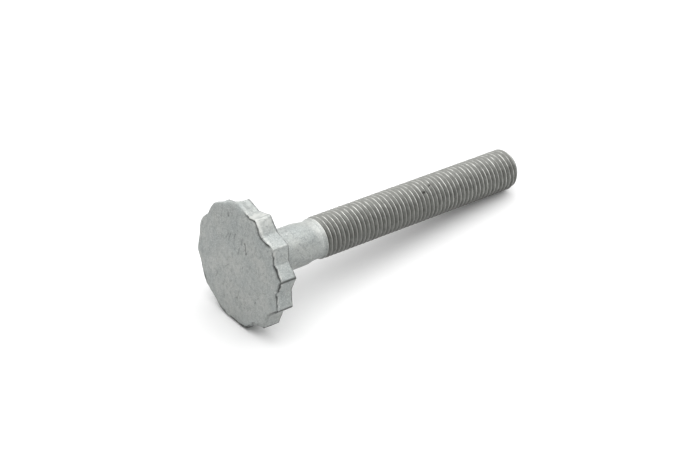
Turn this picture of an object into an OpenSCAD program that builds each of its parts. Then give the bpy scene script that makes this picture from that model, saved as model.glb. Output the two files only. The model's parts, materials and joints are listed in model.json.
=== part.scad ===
// Twelve-point forged bolt with a wide, thin head and a metric coarse thread.
// The bolt lies as it comes to rest on a flat surface: two neighbouring points
// of the head and the tip of the thread touch the plane Z = 0.

/* [Head] */
// Wrench size, flat to flat of either hexagon of the twelve-point head
head_flats = 41; // [36:0.5:50]
// Head height, bearing face to the rim of the end face
head_h = 7; // [4:0.1:12]
// Rise of the end face from its rim to its middle
head_crown = 0.3; // [0.1:0.05:1]
// Radius on the twelve points, seen along the bolt
point_r = 1.2; // [0.4:0.1:3]
// Radius in the notches between the points
notch_r = 2.2; // [0.4:0.1:4]
// Rounding of the rim where the end face meets the sides
rim_r = 0.9; // [0.2:0.1:1.5]
// Small chamfer on the bearing side of the points
bearing_chamfer = 0.35; // [0.1:0.05:0.6]

/* [Shank] */
// Length under the head
length = 125; // [60:1:200]
// Diameter of the plain shank
shank_d = 16; // [12:0.1:18]
// Plain length, bearing face to the first thread
plain_l = 26.5; // [18:0.5:50]
// Fillet where the shank meets the bearing face
head_fillet = 1.0; // [0.4:0.1:2]
// Length over which the shank necks down ahead of the thread
neck_l = 7; // [3:0.5:12]

/* [Thread] */
// Outside diameter of the thread
thread_d = 16; // [12:1:18]
// Thread pitch
pitch = 2; // [1.25:0.25:2.5]
// Length of the ramp from the neck up to the first full thread
run_in = 2.4; // [1:0.1:5]
// Length of the chamfer at the tip
tip_l = 1.6; // [0.5:0.1:3]

/* [Hidden] */
$fn = 96;
arc_steps = 4;
points = 12;
overlap = 0.5;
ease = 0.06;

// Rolled threads start from a blank of the pitch diameter, so the neck has it.
neck_r = (thread_d - 0.6495 * pitch) / 2;
thread_r = thread_d / 2;
shank_r = shank_d / 2;
tip_r = (thread_d - 1.2269 * pitch) / 2 - 0.1;

// Twelve-point outline: two hexagons, one turned by half of their corner step.
step = 360 / points;
point_sharp = head_flats / 2 / cos(step);
notch_sharp = head_flats / 2 / cos(step / 2);
point_mid = point_sharp - point_r / cos(step);
head_r = point_mid + point_r;
bearing_r = head_r - bearing_chamfer;
rim_mid = head_r - rim_r;

// The head rests on the rounded bearing edges of two neighbouring points, each
// half a step from straight down, and the tip on the edge of its last thread.
rest_r = point_mid * cos(step / 2) + point_r;
rest_z = norm([point_mid + point_r * cos(step / 2), point_r * sin(step / 2)]) - bearing_r;
tilt = atan((rest_r - thread_r) / (length - tip_l + rest_z));

// A corner of an outline rounded to radius r. It lies at distance c from the
// centre, in direction a; each side of it is turned by `half` from the square
// to that direction. side is 1 for a point that stands out, -1 for a notch.
function rounded(c, a, r, half, side) =
    let (mid = c - side * r / cos(half))
    [for (i = [0 : arc_steps])
        let (b = a + side * half * (2 * i / arc_steps - 1) + (side > 0 ? 0 : 180))
        mid * [cos(a), sin(a)] + r * [cos(b), sin(b)]];

function star_outline() = [
    for (k = [0 : points - 1])
        each concat(
            rounded(point_sharp, k * step, point_r, step, 1),
            rounded(notch_sharp, (k + 0.5) * step, notch_r, step / 2, -1))
];

// Quarter of a circle from angle a0 to a1 about c, for profiles
function arc(c, r, a0, a1) = [
    for (i = [0 : arc_steps])
        let (a = a0 + (a1 - a0) * i / arc_steps)
        c + r * [cos(a), sin(a)]
];

// Envelope of the head: crowned end face, rounded rim, chamfered bearing edge.
// The bearing face is at z = 0 and the end face is below it.
// It clears the points by `ease`, so that it only trims their two edges.
module head_envelope() {
    out = head_r + ease;
    round_r = rim_r + ease;
    rotate([0, 0, step / 4])
        rotate_extrude()
            polygon(concat(
                [[0, 0], [bearing_r, 0], [out, bearing_r - out]],
                arc([rim_mid, round_r - head_h], round_r, 0, -90),
                [[rim_mid * 0.6, -head_h - head_crown * 0.62],
                 [rim_mid * 0.25, -head_h - head_crown],
                 [0, -head_h - head_crown]]));
}

module head() {
    intersection() {
        translate([0, 0, -head_h - head_crown - overlap])
            rotate([0, 0, step / 2])
                linear_extrude(height = head_h + head_crown + 2 * overlap)
                    polygon(star_outline());
        head_envelope();
    }
}

// Plain shank, eased neck, threaded length at its outside diameter, chamfered tip
module shank() {
    neck_z = plain_l - neck_l;
    rotate_extrude()
        polygon(concat(
            [[0, -overlap], [shank_r + head_fillet, -overlap]],
            [for (p = arc([shank_r + head_fillet, head_fillet], head_fillet, -90, -180)) p],
            [for (i = [0 : 2 * arc_steps])
                let (u = i / (2 * arc_steps))
                [shank_r + (neck_r - shank_r) * (1 - cos(180 * u)) / 2, neck_z + neck_l * 0.8 * u]],
            [[neck_r, plain_l],
             [thread_r, plain_l + run_in],
             [thread_r, length - tip_l],
             [tip_r, length],
             [0, length]]));
}

module bolt() {
    // The shank points along +X and down by the tilt, and rests on Z = 0.
    lift = rest_r * cos(tilt) - rest_z * sin(tilt);
    ahead = length * cos(tilt) + tip_r * sin(tilt);
    behind = (head_h - rim_r) * cos(tilt) + rim_r + rim_mid * cos(step / 2) * sin(tilt);
    translate([(behind - ahead) / 2, 0, lift])
        rotate([0, 90 + tilt, 0])
            union() {
                color("silver") head();
                color("silver") shank();
            }
}

bolt();
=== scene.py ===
import json
import math
import random
import bmesh
import bpy
from mathutils import Matrix, Vector, noise


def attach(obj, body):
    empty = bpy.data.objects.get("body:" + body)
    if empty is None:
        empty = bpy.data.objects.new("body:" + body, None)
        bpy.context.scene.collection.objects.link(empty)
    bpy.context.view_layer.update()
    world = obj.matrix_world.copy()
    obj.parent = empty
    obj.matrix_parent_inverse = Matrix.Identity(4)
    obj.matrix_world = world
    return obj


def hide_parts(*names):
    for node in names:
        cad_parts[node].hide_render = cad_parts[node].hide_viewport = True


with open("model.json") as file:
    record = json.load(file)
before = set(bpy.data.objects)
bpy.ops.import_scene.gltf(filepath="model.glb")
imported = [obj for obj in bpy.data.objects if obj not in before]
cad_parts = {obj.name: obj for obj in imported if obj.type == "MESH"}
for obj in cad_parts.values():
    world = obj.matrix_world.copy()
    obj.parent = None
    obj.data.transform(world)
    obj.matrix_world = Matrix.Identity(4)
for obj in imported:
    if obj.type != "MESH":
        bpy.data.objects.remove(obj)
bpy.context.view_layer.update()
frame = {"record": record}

# ---------------------------------------------------------------- Place of the bolt
# The bolt lies on the floor, tip down. Its stretches are made upright in millimetres, with
# the bearing face of the head at height 0 and the shank pointing up, and then laid down.

millimetre = 0.001
mounts = {m["name"]: m for m in frame["record"]["mounts"]}
along = Vector(mounts["thread"]["axis"]).normalized()
thread_middle = Vector(mounts["thread"]["pos_m"])
on_bearing_face = Vector(mounts["bearing_face"]["pos_m"])
seat = thread_middle - along * along.dot(thread_middle - on_bearing_face)
sideways = Vector((0, 1, 0))
lay_down = Matrix.Translation(seat) @ Matrix((
    (*along.cross(-sideways).xyz, 0), (*sideways.xyz, 0), (*along.xyz, 0), (0, 0, 0, 1)
)).transposed() @ Matrix.Scale(millimetre, 4)

# ---------------------------------------------------------------- Head
# Hot-forged head, wide and thin, with twelve points: the outline of two crossed hexagons.
# The trimming die sat off to one side. There the spread metal fills the notches of the
# end face, and on the other side it left a lapped seam inside the rim.

head_flats = 41.0
head_h = 7.0
head_crown = 0.3
head_points = 12
flank_turn = math.pi / head_points              # from a point to the notch beside it
point_r = head_flats / 2 / math.cos(math.pi / 6)
rim_r = 22
steps_per_flank = 14

# Spread metal: its middle, where it stands out furthest, the share of a notch's depth that
# it fills, and two nicks in it, each with a direction, a narrowness and a depth
spread_at, swollen_at = 76, 104
notch_filled = 0.6
spread_nicks = [(120, 250, 0.5), (66, 400, 0.35)]

# Rim: its smallest radius, and what spreading and rolling over add to it
sharpest_rim, spread_rim, dull_rim = 0.3, 0.35, 1.3
rolled_over_at = 168
bearing_chamfer = 0.3

# Seam: its distance in from the outline, and how much farther in it runs at one place;
# where it is torn wide, with a narrowness; where it heals; and where its lip is torn
seam_wide, seam_deep = 0.6, 0.6
seam_inset, farther_in, farther_in_at = 0.45, 1.0, 208
seam_torn = [(200, 70), (221, 200), (249, 140)]
seam_heals_at, lip_torn_at = 318, 198


def smooth(x):
    x = min(max(x, 0.0), 1.0)
    return x * x * (3 - 2 * x)


def toward(angle, degrees, power):
    # 1 in one direction round the axis, fading to 0 on both sides of it. Once the bolt lies,
    # 0 degrees is straight down, 90 is left as seen from the head, and 180 is the top.
    return max(math.cos(angle - math.radians(degrees)), 0) ** power


def flank_distance(angle):
    # The outline is the farther of the two hexagons
    off = abs((angle / (2 * flank_turn) + 0.5) % 1 - 0.5) * 2 * flank_turn
    return head_flats / 2 / math.cos(flank_turn + off)


def outline(angle, inset, filled):
    # Points and notches are slightly rounded, and further in the outline becomes a circle.
    # Spread metal fills the notches, swells a little past the points, and is nicked twice.
    rounded = (0.6 + 3 * inset) / 60
    near = [flank_distance(angle + rounded * k / 4) for k in range(-4, 5)]
    star = sum(near) / len(near) * 1.001
    swollen = smooth((math.cos(angle - math.radians(swollen_at)) - 0.5) / 0.2)
    nicked = sum(deep * toward(angle, at, narrow) for at, narrow, deep in spread_nicks)
    star += filled * (0.3 + 0.3 * swollen - nicked + notch_filled * (point_r - star))
    circle = head_flats / 2 * 1.06
    return star + (circle - star) * smooth((inset - 2) / 12) - inset


def spread_metal(angle):
    return smooth((math.cos(angle - math.radians(spread_at)) + 0.45) / 0.42)


def rim_radius(angle):
    rolled_over = toward(angle, rolled_over_at, 22)
    return sharpest_rim + spread_rim * spread_metal(angle) + dull_rim * rolled_over


def crowd_to_corners(angle):
    # Even steps become small ones beside each point and notch, and large ones between
    share = (angle / flank_turn) % 1
    return angle + flank_turn * (0.93 * (smooth(smooth(share)) - share))


def head_stations():
    # Inset and height: out over the bearing face, round its edge and along the flank;
    # then shares of the rim's radius; then in over the end face
    bearing = [(x, 0) for x in (11.5, 9, 7, 5, 3.5, 2.2, 1.2, 0.6, 0.3)] + [(0.12, -0.1)]
    flank = [k / 12 for k in range(12)] + [0.96, 0.99, 1]
    rim = [math.radians(90 * k / 6) for k in range(1, 7)]
    end_face = [0.12 * k for k in range(1, 17)] + [2.1 + 0.26 * k for k in range(71)]
    return bearing, flank, rim, end_face


def make_head():
    bm = bmesh.new()
    bm.verts.layers.float.new("dirt_and_painted_shade")
    bm.verts.layers.float.new("wear_and_painted_light")
    steps = 2 * head_points * steps_per_flank
    ring = list(bmesh.ops.create_circle(bm, segments=steps, radius=30)["verts"])
    edges = list(bm.edges)
    bearing, flank, rim, end_face = head_stations()
    for v in ring:
        angle = crowd_to_corners(math.atan2(v.co.y, v.co.x))
        v.co = (math.cos(angle), math.sin(angle), 0)

    def set_ring(place):
        for v in ring:
            angle = math.atan2(v.co.y, v.co.x)
            r, z = place(angle)
            v.co = (r * math.cos(angle), r * math.sin(angle), z)

    def next_ring():
        nonlocal ring, edges
        grown = bmesh.ops.extrude_edge_only(bm, edges=edges)["geom"]
        ring = [g for g in grown if isinstance(g, bmesh.types.BMVert)]
        edges = [g for g in grown if isinstance(g, bmesh.types.BMEdge)]

    for number, (inset, z) in enumerate(bearing):
        if number:
            next_ring()
        set_ring(lambda angle: (outline(angle, inset, 0), z))
    for share in flank:
        next_ring()

        def on_flank(angle):
            z = -bearing_chamfer - (head_h - bearing_chamfer - rim_radius(angle)) * share
            toward_end_face = smooth((-z / head_h - 0.3) / 0.5)
            return outline(angle, 0, spread_metal(angle) * toward_end_face), z
        set_ring(on_flank)
    for turn in rim:
        next_ring()

        def round_rim(angle):
            r = rim_radius(angle)
            inset = r * (1 - math.cos(turn))
            return outline(angle, inset, spread_metal(angle)), r - head_h - r * math.sin(turn)
        set_ring(round_rim)
    for inset in end_face:
        next_ring()
        fade = 1 - smooth(inset / 18)
        filled = 1 - smooth((inset - 1) / 5)
        set_ring(lambda angle: (outline(angle, inset + rim_radius(angle) * fade,
                                        spread_metal(angle) * filled), -head_h))
    bmesh.ops.contextual_create(bm, geom=edges)
    middle = [f for f in bm.faces if len(f.verts) > 8]
    bmesh.ops.poke(bm, faces=middle)
    bmesh.ops.recalc_face_normals(bm, faces=bm.faces)
    if min(bm.faces, key=lambda f: f.calc_center_median().z).normal.z > 0:
        bmesh.ops.reverse_faces(bm, faces=bm.faces)
    bm.normal_update()
    return bm


def seam_and_lip(p):
    # The lap comes and goes along the rim, wanders in and out, and is torn in places; its dark line
    # is painted shade in its groove. Its outer side stands up as a thin ragged lip, which also gets
    # a painted highlight.
    angle = math.atan2(p.y, p.x)
    around = Vector((math.cos(angle), math.sin(angle), 0)) * 3
    wander = 0.18 * noise.noise(around * 2.3) + 0.2 * noise.noise(around * 8)
    wander += 0.16 * noise.noise(around * 25)
    seam_in = seam_inset + farther_in * toward(angle, farther_in_at, 25) + wander
    inset = outline(angle, 0, spread_metal(angle)) - math.hypot(p.x, p.y)
    wide = seam_wide * (1 + 0.9 * noise.noise(around * 4 + Vector((0, 0, 6))))
    for torn_at, narrow in seam_torn:
        wide *= 1 + 0.6 * toward(angle, torn_at, narrow)
    strong = smooth(0.95 + 1.1 * noise.noise(around * 2.6 + Vector((4, 2, 0))))
    strong *= 1 - spread_metal(angle)
    strong *= 1 - 0.95 * toward(angle, seam_heals_at, 10)
    ragged = 0.14 + 0.3 * noise.noise(around * 18) + 0.3 * toward(angle, lip_torn_at, 250)
    lip = strong * smooth((seam_in - inset) / 0.4) * ragged
    return strong * smooth(1.3 * (1 - abs(inset - seam_in) / wide)), lip


def edge_wear_and_painted_light(p):
    # How bright the rim is, with wear and painted highlight, and how dark, with painted shade and a
    # stain
    angle = math.atan2(p.y, p.x)
    off_point = abs(((angle / (2 * flank_turn)) % 1 - 0.5) * 2 * flank_turn) * rim_r
    inset = outline(angle, 0, spread_metal(angle)) - math.hypot(p.x, p.y)
    patchy = 0.6 + 0.8 * noise.noise(p * 0.7)
    lower = smooth(2 * toward(angle, 285, 2) - 0.4)

    # Bright: a painted highlight along the upper points' edges, the metal smeared across the notch
    # at the top, and a painted glint on the seam's torn lip there
    upper_edge_highlight = patchy * (1 - lower) * smooth(1 - off_point / 0.45)
    brushed = noise.noise(Vector((p.x * 2, p.y * 2, p.z * 0.4)))
    smeared = toward(angle, 190, 60) * smooth(0.45 + 2.2 * brushed)
    bright = max(upper_edge_highlight, smeared) * smooth((0.8 - inset) / 0.4)
    torn_lip_glint = 1.2 * toward(angle, lip_torn_at, 500) * smooth((1.6 - head_h - p.z) / 0.8)

    # Dark: painted shade along the lower points' edges and round the bearing edge, the lower part
    # of the rim darker, and a stain on the flank after that notch
    run = lower * smooth(1.3 - off_point / 0.5) * smooth((0.6 - inset) / 0.2)
    bearing_edge_shade = 1.1 * patchy * smooth((p.z + 0.9) / 0.45)
    low_rim = max(1.6 * toward(angle, 355, 7), 1.3 * toward(angle, 55, 60)) * patchy
    low_rim *= smooth((1.0 - head_h - p.z) / 0.5)
    low_rim *= smooth((1.3 + 0.8 * noise.noise(p * 0.5) - inset) / 0.5)
    past_notch = angle % (2 * math.pi) - math.radians(194)
    stain = 0.15 * toward(angle, 205, 150) * smooth(past_notch / 0.06)
    return max(bright, torn_lip_glint), max(run, bearing_edge_shade, low_rim, stain * (1 - torn_lip_glint))


# Nicks and a crack in the end face: the two ends of each, then its width and depth
face_marks = [((-17.9, 8.4), (-16.6, 8.4), 0.7, 0.35), ((-15.6, 11.8), (-14.4, 12.0), 0.3, 0.07),
              ((-10.9, -0.6), (-9.4, -0.2), 0.3, 0.09), ((-10.9, -2.2), (-8.9, -2.9), 0.36, 0.14),
              ((-10.7, -1.8), (-10.3, -2.1), 0.5, 0.18), ((-7.5, -3.5), (-6.9, -3.3), 0.55, 0.2),
              ((-8.9, -2.9), (-7.0, -3.5), 0.36, 0.16), ((-10.3, 7.0), (-7.7, 8.2), 0.3, 0.08),
              ((-11.2, 5.7), (-7.3, 6.7), 0.3, 0.1), ((-11.9, 3.1), (-9.9, 3.7), 0.3, 0.09),
              ((10.1, -1.6), (13.8, -1.0), 0.36, 0.07), ((11.9, 7.9), (12.1, 7.2), 0.4, 0.06),
              ((3.0, -14.3), (2.5, -15.9), 0.3, 0.06), ((11.0, -4.8), (13.0, -4.7), 0.28, 0.05)]

# Light scratches between them, mostly up and down
scratches = 26
draw = random.Random(12)
for _ in range(scratches):
    x, y = draw.uniform(-17, 16), draw.uniform(-14, 16)
    length, lean = draw.uniform(0.8, 3.2), draw.gauss(0.25, 0.3)
    end = (x + length * math.cos(lean), y + length * math.sin(lean))
    face_marks.append(((x, y), end, draw.uniform(0.22, 0.34), draw.uniform(0.03, 0.09)))


def mark_depth(p):
    deepest, darkest = 0, 0
    bend_x, bend_y = noise.noise(p * 1.4 + Vector((9, -2, -8))), noise.noise(p * 1.4)
    spot = Vector((p.x + 0.25 * bend_x, p.y + 0.25 * bend_y))
    for start, end, wide, deep in face_marks:
        start, end = Vector(start), Vector(end)
        run = end - start
        share = min(max((spot - start).dot(run) / run.length_squared, 0), 1)
        near = smooth(1 - (spot - start - run * share).length / wide)
        if near * deep > deepest:
            deepest, darkest = near * deep, near * min(deep / 0.1, 1)
    return deepest, darkest


def roughen_head(bm):
    dirt_and_painted_shade = bm.verts.layers.float["dirt_and_painted_shade"]
    wear_and_painted_light = bm.verts.layers.float["wear_and_painted_light"]
    moves = []
    for v in bm.verts:
        p = v.co
        r = math.hypot(p.x, p.y)
        angle = math.atan2(p.y, p.x)

        # Forged surfaces are nowhere quite flat, and the flanks least of all
        swell = 0.09 * noise.noise(p * 0.13) + 0.05 * noise.noise(p * 0.4)
        swell += 0.02 * noise.noise(p * 1.3)
        uneven = 0.12 * noise.noise(p * 0.45 + Vector((7, 3, 1))) + 0.05 * noise.noise(p * 1.1)
        swell += smooth((r - 15) / 6) * uneven
        move = v.normal * swell
        if p.z < 1.0 - head_h and r < 24:
            flat = smooth((1.0 - head_h - p.z) / 0.8)
            move.z -= flat * head_crown * (1 - (r / point_r) ** 2)
            lap, lip = seam_and_lip(p)
            deep, dark = mark_depth(p) if r < outline(0, 1, 0) else (0, 0)
            # Painted shade in the seam's groove, darker marks, and a painted highlight on the lip
            v[dirt_and_painted_shade] = max(flat * lap, 0.75 * dark)
            v[wear_and_painted_light] = min(4 * lip, 1) * (1 - flat * lap)
            move.z += flat * (seam_deep * lap + deep) - lip
            move.x += 0.6 * lip * p.x / r
            move.y += 0.6 * lip * p.y / r
        if r > outline(angle, 1.6, spread_metal(angle)):
            bright, dark = edge_wear_and_painted_light(p)
            v[wear_and_painted_light] = max(v[wear_and_painted_light], bright)
            v[dirt_and_painted_shade] = max(v[dirt_and_painted_shade], dark)

        # Painted light: the end face and the lower flanks are a little paler toward the floor
        painted_floor_light = smooth((p.x + 12) / 18) if p.z < 0.6 - head_h else smooth((p.x - 2) / 8)
        v[wear_and_painted_light] = max(v[wear_and_painted_light], painted_floor_light * (0.12 + 0.12 * noise.noise(p * 0.3)))
        if p.z > -0.05:
            move = move * 0.3
        moves.append(move)
    for v, move in zip(bm.verts, moves):
        v.co += move


head = make_head()
roughen_head(head)

# ---------------------------------------------------------------- Shank
# Plain round shank with a fillet under the head. It necks down smoothly to the diameter
# of the rolling blank just before the thread.

shank_r = 8.0
head_fillet = 1.0
neck_l = 7.0
thread_d, pitch = 16.0, 2.0
neck_r = thread_d / 2 - 0.3248 * pitch          # half the pitch diameter
thread_start = 26.5
sides = 96


def make_shank():
    bm = bmesh.new()
    dirt_and_painted_shade = bm.verts.layers.float.new("dirt_and_painted_shade")
    wear_and_painted_light = bm.verts.layers.float.new("wear_and_painted_light")
    profile = [(shank_r + head_fillet + 0.6, 0)]
    for i in range(6):
        a = math.radians(90 * i / 5)
        profile.append((shank_r + head_fillet * (1 - math.sin(a)), head_fillet * (1 - math.cos(a))))
    straight = thread_start - neck_l - head_fillet
    for i in range(1, 26):
        profile.append((shank_r, head_fillet + straight * i / 26))
    for i in range(13):
        ease = (1 - math.cos(math.pi * i / 12)) / 2
        z = thread_start - neck_l + 0.8 * neck_l * i / 12
        profile.append((shank_r + (neck_r - shank_r) * ease, z))
    profile.append((neck_r, thread_start - 0.6))
    profile.append((neck_r, thread_start - 0.2))
    line = [bm.verts.new((r, 0, z)) for r, z in profile]
    edges = [bm.edges.new(pair) for pair in zip(line, line[1:])]
    bmesh.ops.spin(bm, geom=line + edges, cent=(0, 0, 0), axis=(0, 0, 1),
                   angle=2 * math.pi, steps=sides, use_merge=True)
    bmesh.ops.recalc_face_normals(bm, faces=bm.faces)
    for v in bm.verts:
        p = v.co
        r = math.hypot(p.x, p.y)
        angle = math.atan2(p.y, p.x)
        hold = smooth(p.z / 1.5) * smooth((thread_start - 0.2 - p.z) / 2)

        # Painted shade on the upper right, and a painted highlight on top beside the thread
        v[dirt_and_painted_shade] = hold * toward(angle, 226, 2) * (0.1 + 0.06 * noise.noise(p * 0.3))
        v[wear_and_painted_light] = 0.35 * smooth((p.z - thread_start + 4) / 3) * toward(angle, 215, 1.5)
        bulge = hold * (0.09 * noise.noise(p * 0.16) + 0.035 * noise.noise(p * 0.6))
        v.co.x *= (r + bulge) / r
        v.co.y *= (r + bulge) / r
    return bm


# ---------------------------------------------------------------- Thread
# Rolled metric coarse thread, right-handed. Rolling lifts the crests out of a blank of
# the pitch diameter, so the first turn rises out of the neck, and the tip is chamfered.

under_head = 125.0
crest_r = thread_d / 2
root_r = crest_r - 0.6134 * pitch
run_in = 2.6
tip_l = 1.6
tip_r = root_r - 0.1

# Nicks in the crests: height, direction, radius
thread_nicks = [(76.9, 213, 1.4), (81.0, 198, 1.1), (76.6, 188, 0.9), (72.4, 192, 0.9)]
nick_deep = 0.3


def turn_profile():
    # One turn from root to root: share of the pitch, and height over the root from 0 to 1
    return [(0.0, 0.0), (0.12, 0.07), (0.27, 0.5), (0.41, 0.93), (0.45, 1.0),
            (0.55, 1.0), (0.59, 0.93), (0.73, 0.5), (0.88, 0.07)]


def make_thread():
    bm = bmesh.new()
    dirt_and_painted_shade = bm.verts.layers.float.new("dirt_and_painted_shade")
    wear_and_painted_light = bm.verts.layers.float.new("wear_and_painted_light")
    rolled = bm.verts.layers.float.new("rolled")
    painted_flank_light = bm.verts.layers.float.new("painted_flank_light")
    turns = int((under_head - thread_start) / pitch) + 3
    line = []
    for turn in range(turns):
        for share, height in turn_profile():
            z = thread_start - 1.5 * pitch + (turn + share) * pitch
            line.append(bm.verts.new((root_r + (crest_r - root_r) * height, 0, z)))
    edges = [bm.edges.new(pair) for pair in zip(line, line[1:])]
    bmesh.ops.spin(bm, geom=line + edges, cent=(0, 0, 0), axis=(0, 0, 1),
                   dvec=(0, 0, pitch / sides), angle=2 * math.pi, steps=sides)
    bmesh.ops.remove_doubles(bm, verts=bm.verts, dist=0.002)
    for v in bm.verts:
        r = math.hypot(v.co.x, v.co.y)
        z = v.co.z
        angle = math.atan2(v.co.y, v.co.x)
        past_start = z - thread_start
        rise = smooth(past_start / run_in)
        shoulder = 0.35 * smooth((past_start + 0.1) / 1.0)
        new_r = neck_r + shoulder + (r - neck_r - shoulder) * rise
        new_r += rise * (0.05 * noise.noise(v.co * 0.4) + 0.03 * noise.noise(v.co * 1.7))

        # Painted highlight: crests are lighter on top, lower down on the right near the tip, and in
        # a ring where the thread begins; flanks are painted lighter on the upper left
        near_tip = smooth((z - 72) / 25)
        crest_highlight = 0.1 + 0.9 * toward(angle, 192, 3) + 0.5 * toward(angle, 264, 14) * near_tip
        patchy = smooth(0.7 + 1.2 * noise.noise(v.co * 0.5))
        ring = 0.7 * smooth((past_start - 0.1) / 0.7) * (1 - smooth((past_start - 1.2) / 3))
        v[rolled] = smooth((past_start - 0.9) / 1.6)
        v[painted_flank_light] = 0.72 * rise * toward(angle, 160, 3)
        v[wear_and_painted_light] = crest_highlight * max(ring, rise * patchy)
        # Depth into the groove: it picks crest or flank colour and paints shade into the roots
        v[dirt_and_painted_shade] = rise * (crest_r - r) / (crest_r - root_r)
        for nick_z, nick_angle, nick_r in thread_nicks:
            a = math.radians(nick_angle)
            off = Vector((v.co.x - crest_r * math.cos(a), v.co.y - crest_r * math.sin(a),
                          z - nick_z))
            dent = smooth(2 - 2 * off.length / nick_r)
            v[dirt_and_painted_shade] = max(v[dirt_and_painted_shade], dent)
            new_r -= nick_deep * dent * (r - root_r) / (crest_r - root_r)
        chamfer = crest_r + (tip_r - crest_r) * (z - under_head + tip_l) / tip_l
        new_r = min(new_r, chamfer)
        v.co.x *= new_r / r
        v.co.y *= new_r / r
    for z, up in ((thread_start, -1), (under_head, 1)):
        bmesh.ops.bisect_plane(bm, geom=bm.verts[:] + bm.edges[:] + bm.faces[:], dist=1e-5,
                               plane_co=(0, 0, z), plane_no=(0, 0, up), clear_outer=True)
    tip = [e for e in bm.edges if e.is_boundary and e.verts[0].co.z > under_head - 0.01]
    bmesh.ops.holes_fill(bm, edges=tip, sides=0)
    bmesh.ops.recalc_face_normals(bm, faces=bm.faces)
    return bm


# ---------------------------------------------------------------- One piece
# Head, shank and thread are one piece of steel, so their open rings are closed together.

def take_in(bm, part):
    mesh = bpy.data.meshes.new("part")
    part.to_mesh(mesh)
    part.free()
    bm.from_mesh(mesh)
    bpy.data.meshes.remove(mesh)


def close_rings(bm, low, high):
    rings = [e for e in bm.edges if e.is_boundary and all(low < v.co.z < high for v in e.verts)]
    bmesh.ops.bridge_loops(bm, edges=rings)


body = head
take_in(body, make_shank())
close_rings(body, -1, 1)
take_in(body, make_thread())
close_rings(body, thread_start - 0.5, thread_start + 0.1)
bmesh.ops.recalc_face_normals(body, faces=body.faces)
bmesh.ops.transform(body, matrix=lay_down, verts=body.verts)
lowest = min(v.co.z for v in body.verts)
bmesh.ops.translate(body, verts=body.verts, vec=(0, 0, -lowest))
for face in body.faces:
    face.smooth = True
mesh = bpy.data.meshes.new("bolt_forging")
body.to_mesh(mesh)
body.free()
bolt = bpy.data.objects.new("bolt_forging", mesh)
bpy.context.scene.collection.objects.link(bolt)
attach(bolt, "root")
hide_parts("bolt")

# ---------------------------------------------------------------- Zinc coat
# Hot-dip zinc over forged steel: a matt grey skin with soft cloudy patches, fine grain and a few
# dull stains. On the thread it is wiped thin: the crests carry a painted highlight, lighter on top,
# and the roots carry painted shade.

patch_dark, patch_light = (0.35, 0.378, 0.37), (0.43, 0.447, 0.425)
dull_stain = (0.25, 0.268, 0.264)
scale_stroke = (0.22, 0.235, 0.235)
bright_grain = (0.56, 0.58, 0.57)
# Lighter zinc for wear, also used for painted highlights
zinc_wear_and_highlight = (0.66, 0.67, 0.64)
# Near black for dirt, and for painted shade in the seam, along lower edges and on the shank
painted_shade_and_dirt = (0.04, 0.043, 0.04)
flank_dark, flank_light = (0.185, 0.187, 0.173), (0.275, 0.28, 0.262)
# Flank colour painted lighter on the upper side
flank_painted_light = (0.46, 0.463, 0.44)
# The bright crest colour is a painted highlight
crest_dull, crest_bright = (0.25, 0.252, 0.235), (0.72, 0.725, 0.69)
# Painted shade in the thread's roots, and dirt in its nicks
root_painted_shade_and_dirt = (0.05, 0.048, 0.042)
bump_strength, bump_depth = 0.35, 0.0002

zinc = bpy.data.materials.new("zinc_coat")
zinc.use_nodes = True
nodes, links = zinc.node_tree.nodes, zinc.node_tree.links
shader = nodes["Principled BSDF"]
on_bolt = nodes.new("ShaderNodeTexCoord").outputs["Object"]


def remap(value, low, high, new_low, new_high):
    spread = nodes.new("ShaderNodeMapRange")
    for name, number in (("From Min", low), ("From Max", high),
                         ("To Min", new_low), ("To Max", new_high)):
        spread.inputs[name].default_value = number
    links.new(value, spread.inputs["Value"])
    return spread.outputs["Result"]


def speckle(where, scale, detail):
    texture = nodes.new("ShaderNodeTexNoise")
    texture.inputs["Scale"].default_value = scale
    texture.inputs["Detail"].default_value = detail
    links.new(where, texture.inputs["Vector"])
    return texture.outputs["Fac"]


def cloud(scale, detail, low, high):
    return remap(speckle(on_bolt, scale, detail), low, high, 0.0, 1.0)


def strokes():
    # Short upright strokes left by the hammer scale
    stretch = nodes.new("ShaderNodeMapping")
    stretch.inputs["Scale"].default_value = (1, 1, 0.22)
    links.new(on_bolt, stretch.inputs["Vector"])
    return remap(speckle(stretch.outputs["Vector"], 1300, 2), 0.58, 0.72, 0.0, 0.55)


def blend(mask, first, second):
    mix = nodes.new("ShaderNodeMix")
    mix.data_type = "RGBA"
    links.new(mask, mix.inputs["Factor"])
    for socket, value in ((mix.inputs["A"], first), (mix.inputs["B"], second)):
        if isinstance(value, tuple):
            socket.default_value = (*value, 1)
        else:
            links.new(value, socket)
    return mix.outputs["Result"]


def times(mask, second):
    step = nodes.new("ShaderNodeMath")
    step.operation = "MULTIPLY"
    links.new(mask, step.inputs[0])
    if isinstance(second, float):
        step.inputs[1].default_value = second
    else:
        links.new(second, step.inputs[1])
    return step.outputs[0]


def from_mesh(name):
    attribute = nodes.new("ShaderNodeAttribute")
    attribute.attribute_name = name
    return attribute.outputs["Fac"]


dirt_and_painted_shade, wear_and_painted_light = from_mesh("dirt_and_painted_shade"), from_mesh("wear_and_painted_light")
rolled, painted_flank_light = from_mesh("rolled"), from_mesh("painted_flank_light")

skin = blend(cloud(110, 2, 0.35, 0.65), patch_dark, patch_light)
skin = blend(times(cloud(700, 4, 0.45, 0.68), 0.75), skin, dull_stain)
skin = blend(strokes(), skin, scale_stroke)
skin = blend(times(cloud(2300, 3, 0.48, 0.72), 0.85), skin, bright_grain)
# Wear and painted highlight, then dirt and painted shade
skin = blend(times(wear_and_painted_light, 0.8), skin, zinc_wear_and_highlight)
skin = blend(times(dirt_and_painted_shade, 0.95), skin, painted_shade_and_dirt)

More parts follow.
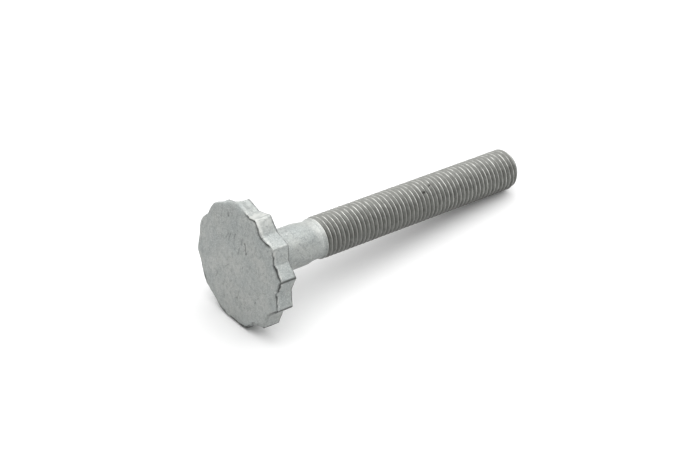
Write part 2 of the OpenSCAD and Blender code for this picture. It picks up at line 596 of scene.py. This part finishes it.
flank_skin = blend(cloud(500, 3, 0.35, 0.65), flank_dark, flank_light)
# Flanks painted lighter on the upper side
flank_skin = blend(painted_flank_light, flank_skin, flank_painted_light)
# Crests: painted highlight
crest_skin = blend(times(wear_and_painted_light, cloud(420, 4, 0.25, 0.55)), crest_dull, crest_bright)
thread_skin = blend(remap(dirt_and_painted_shade, 0.01, 0.16, 0.0, 1.0), crest_skin, flank_skin)
# Painted shade in the roots, and dirt in the crest nicks
thread_skin = blend(remap(dirt_and_painted_shade, 0.7, 0.95, 0.0, 1.0), thread_skin, root_painted_shade_and_dirt)

links.new(blend(rolled, skin, thread_skin), shader.inputs["Base Color"])
shader.inputs["Metallic"].default_value = 0.3
links.new(remap(cloud(600, 3, 0.3, 0.7), 0.0, 1.0, 0.38, 0.5), shader.inputs["Roughness"])
bump = nodes.new("ShaderNodeBump")
bump.inputs["Strength"].default_value = bump_strength
bump.inputs["Distance"].default_value = bump_depth
links.new(cloud(900, 5, 0.2, 0.8), bump.inputs["Height"])
links.new(bump.outputs["Normal"], shader.inputs["Normal"])
bolt.data.materials.append(zinc)

# ---------------------------------------------------------------- Floor
# A plain white sheet that the bolt lies on, wide enough to fill the view.

floor_mesh = bpy.data.meshes.new("floor")
sheet = bmesh.new()
bmesh.ops.create_grid(sheet, x_segments=1, y_segments=1, size=6)
sheet.to_mesh(floor_mesh)
sheet.free()
floor = bpy.data.objects.new("floor", floor_mesh)
bpy.context.scene.collection.objects.link(floor)
white = bpy.data.materials.new("white_sheet")
white.use_nodes = True
paper = white.node_tree.nodes["Principled BSDF"]
paper.inputs["Roughness"].default_value = 1
paper.inputs["Specular IOR Level"].default_value = 0


def white_when_seen(tree, otherwise, socket):
    # 1 for what the camera sees, straight or in a reflection, and less for bounced light
    path = tree.nodes.new("ShaderNodeLightPath")
    either = path.outputs["Is Camera Ray"]
    for ray in ("Is Glossy Ray", "Is Transmission Ray"):
        larger = tree.nodes.new("ShaderNodeMath")
        larger.operation = "MAXIMUM"
        tree.links.new(either, larger.inputs[0])
        tree.links.new(path.outputs[ray], larger.inputs[1])
        either = larger.outputs[0]
    strength = tree.nodes.new("ShaderNodeMapRange")
    strength.inputs["To Min"].default_value = otherwise
    strength.inputs["To Max"].default_value = 1.0
    tree.links.new(either, strength.inputs["Value"])
    tree.links.new(strength.outputs["Result"], socket)


bounced_by_floor = 0.4
white_when_seen(white.node_tree, bounced_by_floor, paper.inputs["Base Color"])
floor_mesh.materials.append(white)

# ---------------------------------------------------------------- Light
# Soft even light from all round, and one very broad lamp almost straight above, leaning
# a little toward the tip.

world = bpy.data.worlds.new("studio")
bpy.context.scene.world = world
world.use_nodes = True
surround = world.node_tree.nodes["Background"]
surround.inputs["Color"].default_value = (1, 1, 1, 1)
light_from_round = 0.34
white_when_seen(world.node_tree, light_from_round, surround.inputs["Strength"])
lamp_data = bpy.data.lights.new("key_lamp", "SUN")
lamp_data.energy = 3.05
lamp_data.angle = math.radians(105)
lamp = bpy.data.objects.new("key_lamp", lamp_data)
bpy.context.scene.collection.objects.link(lamp)
from_where = Vector((0.22, 0.04, 1.0))
lamp.rotation_euler = from_where.to_track_quat("Z", "Y").to_euler()

# ---------------------------------------------------------------- Camera
# Long lens, above and in front of the head, on the bolt's right side.

camera_data = bpy.data.cameras.new("camera")
camera_data.sensor_width = 36
camera_data.lens = 113.1
camera = bpy.data.objects.new("camera", camera_data)
camera.location = (-0.43826, -0.48322, 0.50482)
camera.rotation_euler = [math.radians(a) for a in (52.637, -1.436, -40.264)]
bpy.context.scene.collection.objects.link(camera)
bpy.context.scene.camera = camera
bpy.context.scene.view_settings.view_transform = "Standard"
